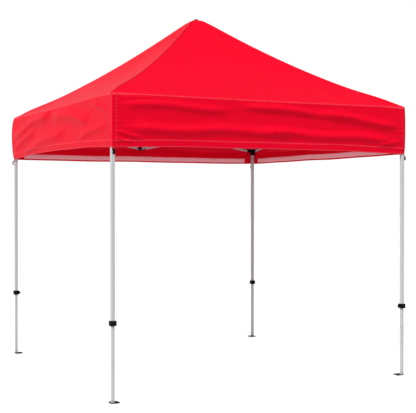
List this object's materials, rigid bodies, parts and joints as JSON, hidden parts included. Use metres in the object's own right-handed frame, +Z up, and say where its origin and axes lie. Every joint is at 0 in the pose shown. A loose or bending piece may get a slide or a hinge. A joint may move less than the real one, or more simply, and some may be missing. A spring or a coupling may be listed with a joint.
{
  "type": "pop up canopy",
  "caption": "Square pop-up canopy on a folding scissor frame: telescoping legs, crossed trusses, a centre pole and a peaked fabric roof with valances.",
  "frame": {"origin": "on the ground, under the centre pole, in the middle of the four feet", "axes": "+Z up; front is -Y and right is +X, both square to the sides; the four sides are alike"},
  "size_m": [2.974, 2.974, 3.491],
  "materials": {
    "red_fabric": "matte",
    "white_powder_coat": "satin",
    "black_plastic": "matte"
  },
  "bodies": {
    "upper_hub": {"upper_hub": "black_plastic", "canopy_top": "red_fabric"},
    "lower_hub": {"lower_hub": "black_plastic", "center_pole": "white_powder_coat"},
    "right_cross_down_bar": {"right_cross_down_bar": "white_powder_coat"},
    "right_cross_up_bar": {"right_cross_up_bar": "white_powder_coat"},
    "right_top_connector": {"right_top_connector": "black_plastic"},
    "right_bottom_connector": {"right_bottom_connector": "black_plastic"},
    "right_truss_down_bar_back": {"right_truss_down_bar_back": "white_powder_coat"},
    "right_truss_up_bar_back": {"right_truss_up_bar_back": "white_powder_coat"},
    "back_right_leg": {"back_right_leg_upper": "white_powder_coat", "back_right_leg_fittings": "black_plastic"},
    "back_right_slider": {"back_right_slider": "black_plastic"},
    "right_truss_down_bar_front": {"right_truss_down_bar_front": "white_powder_coat"},
    "right_truss_up_bar_front": {"right_truss_up_bar_front": "white_powder_coat"},
    "back_cross_down_bar": {"back_cross_down_bar": "white_powder_coat"},
    "back_cross_up_bar": {"back_cross_up_bar": "white_powder_coat"},
    "back_top_connector": {"back_top_connector": "black_plastic"},
    "back_bottom_connector": {"back_bottom_connector": "black_plastic"},
    "back_truss_down_bar_left": {"back_truss_down_bar_left": "white_powder_coat"},
    "back_truss_up_bar_left": {"back_truss_up_bar_left": "white_powder_coat"},
    "back_left_leg": {"back_left_leg_upper": "white_powder_coat", "back_left_leg_fittings": "black_plastic"},
    "back_left_slider": {"back_left_slider": "black_plastic"},
    "back_truss_down_bar_right": {"back_truss_down_bar_right": "white_powder_coat"},
    "back_truss_up_bar_right": {"back_truss_up_bar_right": "white_powder_coat"},
    "left_cross_down_bar": {"left_cross_down_bar": "white_powder_coat"},
    "left_cross_up_bar": {"left_cross_up_bar": "white_powder_coat"},
    "left_top_connector": {"left_top_connector": "black_plastic"},
    "left_bottom_connector": {"left_bottom_connector": "black_plastic"},
    "left_truss_down_bar_front": {"left_truss_down_bar_front": "white_powder_coat"},
    "left_truss_up_bar_front": {"left_truss_up_bar_front": "white_powder_coat"},
    "front_left_leg": {"front_left_leg_upper": "white_powder_coat", "front_left_leg_fittings": "black_plastic"},
    "front_left_slider": {"front_left_slider": "black_plastic"},
    "left_truss_down_bar_back": {"left_truss_down_bar_back": "white_powder_coat"},
    "left_truss_up_bar_back": {"left_truss_up_bar_back": "white_powder_coat"},
    "front_cross_down_bar": {"front_cross_down_bar": "white_powder_coat"},
    "front_cross_up_bar": {"front_cross_up_bar": "white_powder_coat"},
    "front_top_connector": {"front_top_connector": "black_plastic"},
    "front_bottom_connector": {"front_bottom_connector": "black_plastic"},
    "front_truss_down_bar_right": {"front_truss_down_bar_right": "white_powder_coat"},
    "front_truss_up_bar_right": {"front_truss_up_bar_right": "white_powder_coat"},
    "front_right_leg": {"front_right_leg_upper": "white_powder_coat", "front_right_leg_fittings": "black_plastic"},
    "front_right_slider": {"front_right_slider": "black_plastic"},
    "front_truss_down_bar_left": {"front_truss_down_bar_left": "white_powder_coat"},
    "front_truss_up_bar_left": {"front_truss_up_bar_left": "white_powder_coat"},
    "back_right_leg_lower": {"back_right_leg_lower": "white_powder_coat", "back_right_foot": "black_plastic"},
    "back_right_lock_button": {"back_right_lock_button": "black_plastic"},
    "back_left_leg_lower": {"back_left_leg_lower": "white_powder_coat", "back_left_foot": "black_plastic"},
    "back_left_lock_button": {"back_left_lock_button": "black_plastic"},
    "front_left_leg_lower": {"front_left_leg_lower": "white_powder_coat", "front_left_foot": "black_plastic"},
    "front_left_lock_button": {"front_left_lock_button": "black_plastic"},
    "front_right_leg_lower": {"front_right_leg_lower": "white_powder_coat", "front_right_foot": "black_plastic"},
    "front_right_lock_button": {"front_right_lock_button": "black_plastic"}
  },
  "joints": [
    {"name": "frame_fold", "type": "hinge", "parent": "upper_hub", "child": "right_cross_down_bar", "pos_m": [0.042, 0, 2.495], "axis": [0, 1, 0], "range_deg": [0, 78.2], "deforming": ["canopy_top"]},
    {"name": "right_cross_scissor_pivot", "type": "hinge", "parent": "right_cross_down_bar", "child": "right_cross_up_bar", "pos_m": [0.726, 0, 2.37], "axis": [0, 1, 0], "range_deg": [-156.4, 0]},
    {"name": "right_top_connector_pivot", "type": "hinge", "parent": "right_cross_up_bar", "child": "right_top_connector", "pos_m": [1.41, 0, 2.495], "axis": [0, 1, 0], "range_deg": [0, 78.2]},
    {"name": "right_bottom_connector_pivot", "type": "hinge", "parent": "right_cross_down_bar", "child": "right_bottom_connector", "pos_m": [1.41, 0, 2.245], "axis": [0, 1, 0], "range_deg": [-78.2, 0]},
    {"name": "lower_hub_pivot", "type": "hinge", "parent": "right_cross_up_bar", "child": "lower_hub", "pos_m": [0.042, 0, 2.245], "axis": [0, 1, 0], "range_deg": [0, 78.2]},
    {"name": "right_truss_down_pivot_back", "type": "hinge", "parent": "right_top_connector", "child": "right_truss_down_bar_back", "pos_m": [1.46, 0.036, 2.495], "axis": [-1, 0, 0], "range_deg": [0, 78.2]},
    {"name": "right_truss_scissor_pivot_back", "type": "hinge", "parent": "right_truss_down_bar_back", "child": "right_truss_up_bar_back", "pos_m": [1.46, 0.72, 2.37], "axis": [-1, 0, 0], "range_deg": [-156.4, 0]},
    {"name": "back_right_leg_pivot", "type": "hinge", "parent": "right_truss_up_bar_back", "child": "back_right_leg", "pos_m": [1.46, 1.404, 2.495], "axis": [-1, 0, 0], "range_deg": [0, 78.2]},
    {"name": "back_right_slider_pivot", "type": "hinge", "parent": "right_truss_down_bar_back", "child": "back_right_slider", "pos_m": [1.46, 1.404, 2.245], "axis": [-1, 0, 0], "range_deg": [-78.2, 0]},
    {"name": "right_truss_down_pivot_front", "type": "hinge", "parent": "right_top_connector", "child": "right_truss_down_bar_front", "pos_m": [1.46, -0.036, 2.495], "axis": [1, 0, 0], "range_deg": [0, 78.2]},
    {"name": "right_truss_scissor_pivot_front", "type": "hinge", "parent": "right_truss_down_bar_front", "child": "right_truss_up_bar_front", "pos_m": [1.46, -0.72, 2.37], "axis": [1, 0, 0], "range_deg": [-156.4, 0]},
    {"name": "back_cross_down_pivot", "type": "hinge", "parent": "upper_hub", "child": "back_cross_down_bar", "pos_m": [0, 0.042, 2.495], "axis": [-1, 0, 0], "range_deg": [0, 78.2]},
    {"name": "back_cross_scissor_pivot", "type": "hinge", "parent": "back_cross_down_bar", "child": "back_cross_up_bar", "pos_m": [0, 0.726, 2.37], "axis": [-1, 0, 0], "range_deg": [-156.4, 0]},
    {"name": "back_top_connector_pivot", "type": "hinge", "parent": "back_cross_up_bar", "child": "back_top_connector", "pos_m": [0, 1.41, 2.495], "axis": [-1, 0, 0], "range_deg": [0, 78.2]},
    {"name": "back_bottom_connector_pivot", "type": "hinge", "parent": "back_cross_down_bar", "child": "back_bottom_connector", "pos_m": [0, 1.41, 2.245], "axis": [-1, 0, 0], "range_deg": [-78.2, 0]},
    {"name": "back_truss_down_pivot_left", "type": "hinge", "parent": "back_top_connector", "child": "back_truss_down_bar_left", "pos_m": [-0.036, 1.46, 2.495], "axis": [0, -1, 0], "range_deg": [0, 78.2]},
    {"name": "back_truss_scissor_pivot_left", "type": "hinge", "parent": "back_truss_down_bar_left", "child": "back_truss_up_bar_left", "pos_m": [-0.72, 1.46, 2.37], "axis": [0, -1, 0], "range_deg": [-156.4, 0]},
    {"name": "back_left_leg_pivot", "type": "hinge", "parent": "back_truss_up_bar_left", "child": "back_left_leg", "pos_m": [-1.404, 1.46, 2.495], "axis": [0, -1, 0], "range_deg": [0, 78.2]},
    {"name": "back_left_slider_pivot", "type": "hinge", "parent": "back_truss_down_bar_left", "child": "back_left_slider", "pos_m": [-1.404, 1.46, 2.245], "axis": [0, -1, 0], "range_deg": [-78.2, 0]},
    {"name": "back_truss_down_pivot_right", "type": "hinge", "parent": "back_top_connector", "child": "back_truss_down_bar_right", "pos_m": [0.036, 1.46, 2.495], "axis": [0, 1, 0], "range_deg": [0, 78.2]},
    {"name": "back_truss_scissor_pivot_right", "type": "hinge", "parent": "back_truss_down_bar_right", "child": "back_truss_up_bar_right", "pos_m": [0.72, 1.46, 2.37], "axis": [0, 1, 0], "range_deg": [-156.4, 0]},
    {"name": "left_cross_down_pivot", "type": "hinge", "parent": "upper_hub", "child": "left_cross_down_bar", "pos_m": [-0.042, 0, 2.495], "axis": [0, -1, 0], "range_deg": [0, 78.2]},
    {"name": "left_cross_scissor_pivot", "type": "hinge", "parent": "left_cross_down_bar", "child": "left_cross_up_bar", "pos_m": [-0.726, 0, 2.37], "axis": [0, -1, 0], "range_deg": [-156.4, 0]},
    {"name": "left_top_connector_pivot", "type": "hinge", "parent": "left_cross_up_bar", "child": "left_top_connector", "pos_m": [-1.41, 0, 2.495], "axis": [0, -1, 0], "range_deg": [0, 78.2]},
    {"name": "left_bottom_connector_pivot", "type": "hinge", "parent": "left_cross_down_bar", "child": "left_bottom_connector", "pos_m": [-1.41, 0, 2.245], "axis": [0, -1, 0], "range_deg": [-78.2, 0]},
    {"name": "left_truss_down_pivot_front", "type": "hinge", "parent": "left_top_connector", "child": "left_truss_down_bar_front", "pos_m": [-1.46, -0.036, 2.495], "axis": [1, 0, 0], "range_deg": [0, 78.2]},
    {"name": "left_truss_scissor_pivot_front", "type": "hinge", "parent": "left_truss_down_bar_front", "child": "left_truss_up_bar_front", "pos_m": [-1.46, -0.72, 2.37], "axis": [1, 0, 0], "range_deg": [-156.4, 0]},
    {"name": "front_left_leg_pivot", "type": "hinge", "parent": "left_truss_up_bar_front", "child": "front_left_leg", "pos_m": [-1.46, -1.404, 2.495], "axis": [1, 0, 0], "range_deg": [0, 78.2]},
    {"name": "front_left_slider_pivot", "type": "hinge", "parent": "left_truss_down_bar_front", "child": "front_left_slider", "pos_m": [-1.46, -1.404, 2.245], "axis": [1, 0, 0], "range_deg": [-78.2, 0]},
    {"name": "left_truss_down_pivot_back", "type": "hinge", "parent": "left_top_connector", "child": "left_truss_down_bar_back", "pos_m": [-1.46, 0.036, 2.495], "axis": [-1, 0, 0], "range_deg": [0, 78.2]},
    {"name": "left_truss_scissor_pivot_back", "type": "hinge", "parent": "left_truss_down_bar_back", "child": "left_truss_up_bar_back", "pos_m": [-1.46, 0.72, 2.37], "axis": [-1, 0, 0], "range_deg": [-156.4, 0]},
    {"name": "front_cross_down_pivot", "type": "hinge", "parent": "upper_hub", "child": "front_cross_down_bar", "pos_m": [0, -0.042, 2.495], "axis": [1, 0, 0], "range_deg": [0, 78.2]},
    {"name": "front_cross_scissor_pivot", "type": "hinge", "parent": "front_cross_down_bar", "child": "front_cross_up_bar", "pos_m": [0, -0.726, 2.37], "axis": [1, 0, 0], "range_deg": [-156.4, 0]},
    {"name": "front_top_connector_pivot", "type": "hinge", "parent": "front_cross_up_bar", "child": "front_top_connector", "pos_m": [0, -1.41, 2.495], "axis": [1, 0, 0], "range_deg": [0, 78.2]},
    {"name": "front_bottom_connector_pivot", "type": "hinge", "parent": "front_cross_down_bar", "child": "front_bottom_connector", "pos_m": [0, -1.41, 2.245], "axis": [1, 0, 0], "range_deg": [-78.2, 0]},
    {"name": "front_truss_down_pivot_right", "type": "hinge", "parent": "front_top_connector", "child": "front_truss_down_bar_right", "pos_m": [0.036, -1.46, 2.495], "axis": [0, 1, 0], "range_deg": [0, 78.2]},
    {"name": "front_truss_scissor_pivot_right", "type": "hinge", "parent": "front_truss_down_bar_right", "child": "front_truss_up_bar_right", "pos_m": [0.72, -1.46, 2.37], "axis": [0, 1, 0], "range_deg": [-156.4, 0]},
    {"name": "front_right_leg_pivot", "type": "hinge", "parent": "front_truss_up_bar_right", "child": "front_right_leg", "pos_m": [1.404, -1.46, 2.495], "axis": [0, 1, 0], "range_deg": [0, 78.2]},
    {"name": "front_right_slider_pivot", "type": "hinge", "parent": "front_truss_down_bar_right", "child": "front_right_slider", "pos_m": [1.404, -1.46, 2.245], "axis": [0, 1, 0], "range_deg": [-78.2, 0]},
    {"name": "front_truss_down_pivot_left", "type": "hinge", "parent": "front_top_connector", "child": "front_truss_down_bar_left", "pos_m": [-0.036, -1.46, 2.495], "axis": [0, -1, 0], "range_deg": [0, 78.2]},
    {"name": "front_truss_scissor_pivot_left", "type": "hinge", "parent": "front_truss_down_bar_left", "child": "front_truss_up_bar_left", "pos_m": [-0.72, -1.46, 2.37], "axis": [0, -1, 0], "range_deg": [-156.4, 0]},
    {"name": "back_right_leg_slide", "type": "slide", "parent": "back_right_leg", "child": "back_right_leg_lower", "axis": [0, 0, 1], "range_m": [0, 0.6]},
    {"name": "back_right_lock_button_press", "type": "slide", "parent": "back_right_leg", "child": "back_right_lock_button", "axis": [0, 1, 0], "range_m": [0, 0.003], "stiffness_N_per_m": 800, "springref_m": -0.003},
    {"name": "back_left_leg_slide", "type": "slide", "parent": "back_left_leg", "child": "back_left_leg_lower", "axis": [0, 0, 1], "range_m": [0, 0.6]},
    {"name": "back_left_lock_button_press", "type": "slide", "parent": "back_left_leg", "child": "back_left_lock_button", "axis": [-1, 0, 0], "range_m": [0, 0.003], "stiffness_N_per_m": 800, "springref_m": -0.003},
    {"name": "front_left_leg_slide", "type": "slide", "parent": "front_left_leg", "child": "front_left_leg_lower", "axis": [0, 0, 1], "range_m": [0, 0.6]},
    {"name": "front_left_lock_button_press", "type": "slide", "parent": "front_left_leg", "child": "front_left_lock_button", "axis": [0, -1, 0], "range_m": [0, 0.003], "stiffness_N_per_m": 800, "springref_m": -0.003},
    {"name": "front_right_leg_slide", "type": "slide", "parent": "front_right_leg", "child": "front_right_leg_lower", "axis": [0, 0, 1], "range_m": [0, 0.6]},
    {"name": "front_right_lock_button_press", "type": "slide", "parent": "front_right_leg", "child": "front_right_lock_button", "axis": [1, 0, 0], "range_m": [0, 0.003], "stiffness_N_per_m": 800, "springref_m": -0.003}
  ],
  "couplings": [
    {"joint": "right_cross_scissor_pivot", "follows": "frame_fold", "ratio": -2},
    {"joint": "right_top_connector_pivot", "follows": "frame_fold", "ratio": 1},
    {"joint": "right_bottom_connector_pivot", "follows": "frame_fold", "ratio": -1},
    {"joint": "lower_hub_pivot", "follows": "frame_fold", "ratio": 1},
    {"joint": "right_truss_down_pivot_back", "follows": "frame_fold", "ratio": 1},
    {"joint": "right_truss_scissor_pivot_back", "follows": "frame_fold", "ratio": -2},
    {"joint": "back_right_leg_pivot", "follows": "frame_fold", "ratio": 1},
    {"joint": "back_right_slider_pivot", "follows": "frame_fold", "ratio": -1},
    {"joint": "right_truss_down_pivot_front", "follows": "frame_fold", "ratio": 1},
    {"joint": "right_truss_scissor_pivot_front", "follows": "frame_fold", "ratio": -2},
    {"joint": "back_cross_down_pivot", "follows": "frame_fold", "ratio": 1},
    {"joint": "back_cross_scissor_pivot", "follows": "frame_fold", "ratio": -2},
    {"joint": "back_top_connector_pivot", "follows": "frame_fold", "ratio": 1},
    {"joint": "back_bottom_connector_pivot", "follows": "frame_fold", "ratio": -1},
    {"joint": "back_truss_down_pivot_left", "follows": "frame_fold", "ratio": 1},
    {"joint": "back_truss_scissor_pivot_left", "follows": "frame_fold", "ratio": -2},
    {"joint": "back_left_leg_pivot", "follows": "frame_fold", "ratio": 1},
    {"joint": "back_left_slider_pivot", "follows": "frame_fold", "ratio": -1},
    {"joint": "back_truss_down_pivot_right", "follows": "frame_fold", "ratio": 1},
    {"joint": "back_truss_scissor_pivot_right", "follows": "frame_fold", "ratio": -2},
    {"joint": "left_cross_down_pivot", "follows": "frame_fold", "ratio": 1},
    {"joint": "left_cross_scissor_pivot", "follows": "frame_fold", "ratio": -2},
    {"joint": "left_top_connector_pivot", "follows": "frame_fold", "ratio": 1},
    {"joint": "left_bottom_connector_pivot", "follows": "frame_fold", "ratio": -1},
    {"joint": "left_truss_down_pivot_front", "follows": "frame_fold", "ratio": 1},
    {"joint": "left_truss_scissor_pivot_front", "follows": "frame_fold", "ratio": -2},
    {"joint": "front_left_leg_pivot", "follows": "frame_fold", "ratio": 1},
    {"joint": "front_left_slider_pivot", "follows": "frame_fold", "ratio": -1},
    {"joint": "left_truss_down_pivot_back", "follows": "frame_fold", "ratio": 1},
    {"joint": "left_truss_scissor_pivot_back", "follows": "frame_fold", "ratio": -2},
    {"joint": "front_cross_down_pivot", "follows": "frame_fold", "ratio": 1},
    {"joint": "front_cross_scissor_pivot", "follows": "frame_fold", "ratio": -2},
    {"joint": "front_top_connector_pivot", "follows": "frame_fold", "ratio": 1},
    {"joint": "front_bottom_connector_pivot", "follows": "frame_fold", "ratio": -1},
    {"joint": "front_truss_down_pivot_right", "follows": "frame_fold", "ratio": 1},
    {"joint": "front_truss_scissor_pivot_right", "follows": "frame_fold", "ratio": -2},
    {"joint": "front_right_leg_pivot", "follows": "frame_fold", "ratio": 1},
    {"joint": "front_right_slider_pivot", "follows": "frame_fold", "ratio": -1},
    {"joint": "front_truss_down_pivot_left", "follows": "frame_fold", "ratio": 1},
    {"joint": "front_truss_scissor_pivot_left", "follows": "frame_fold", "ratio": -2}
  ]
}
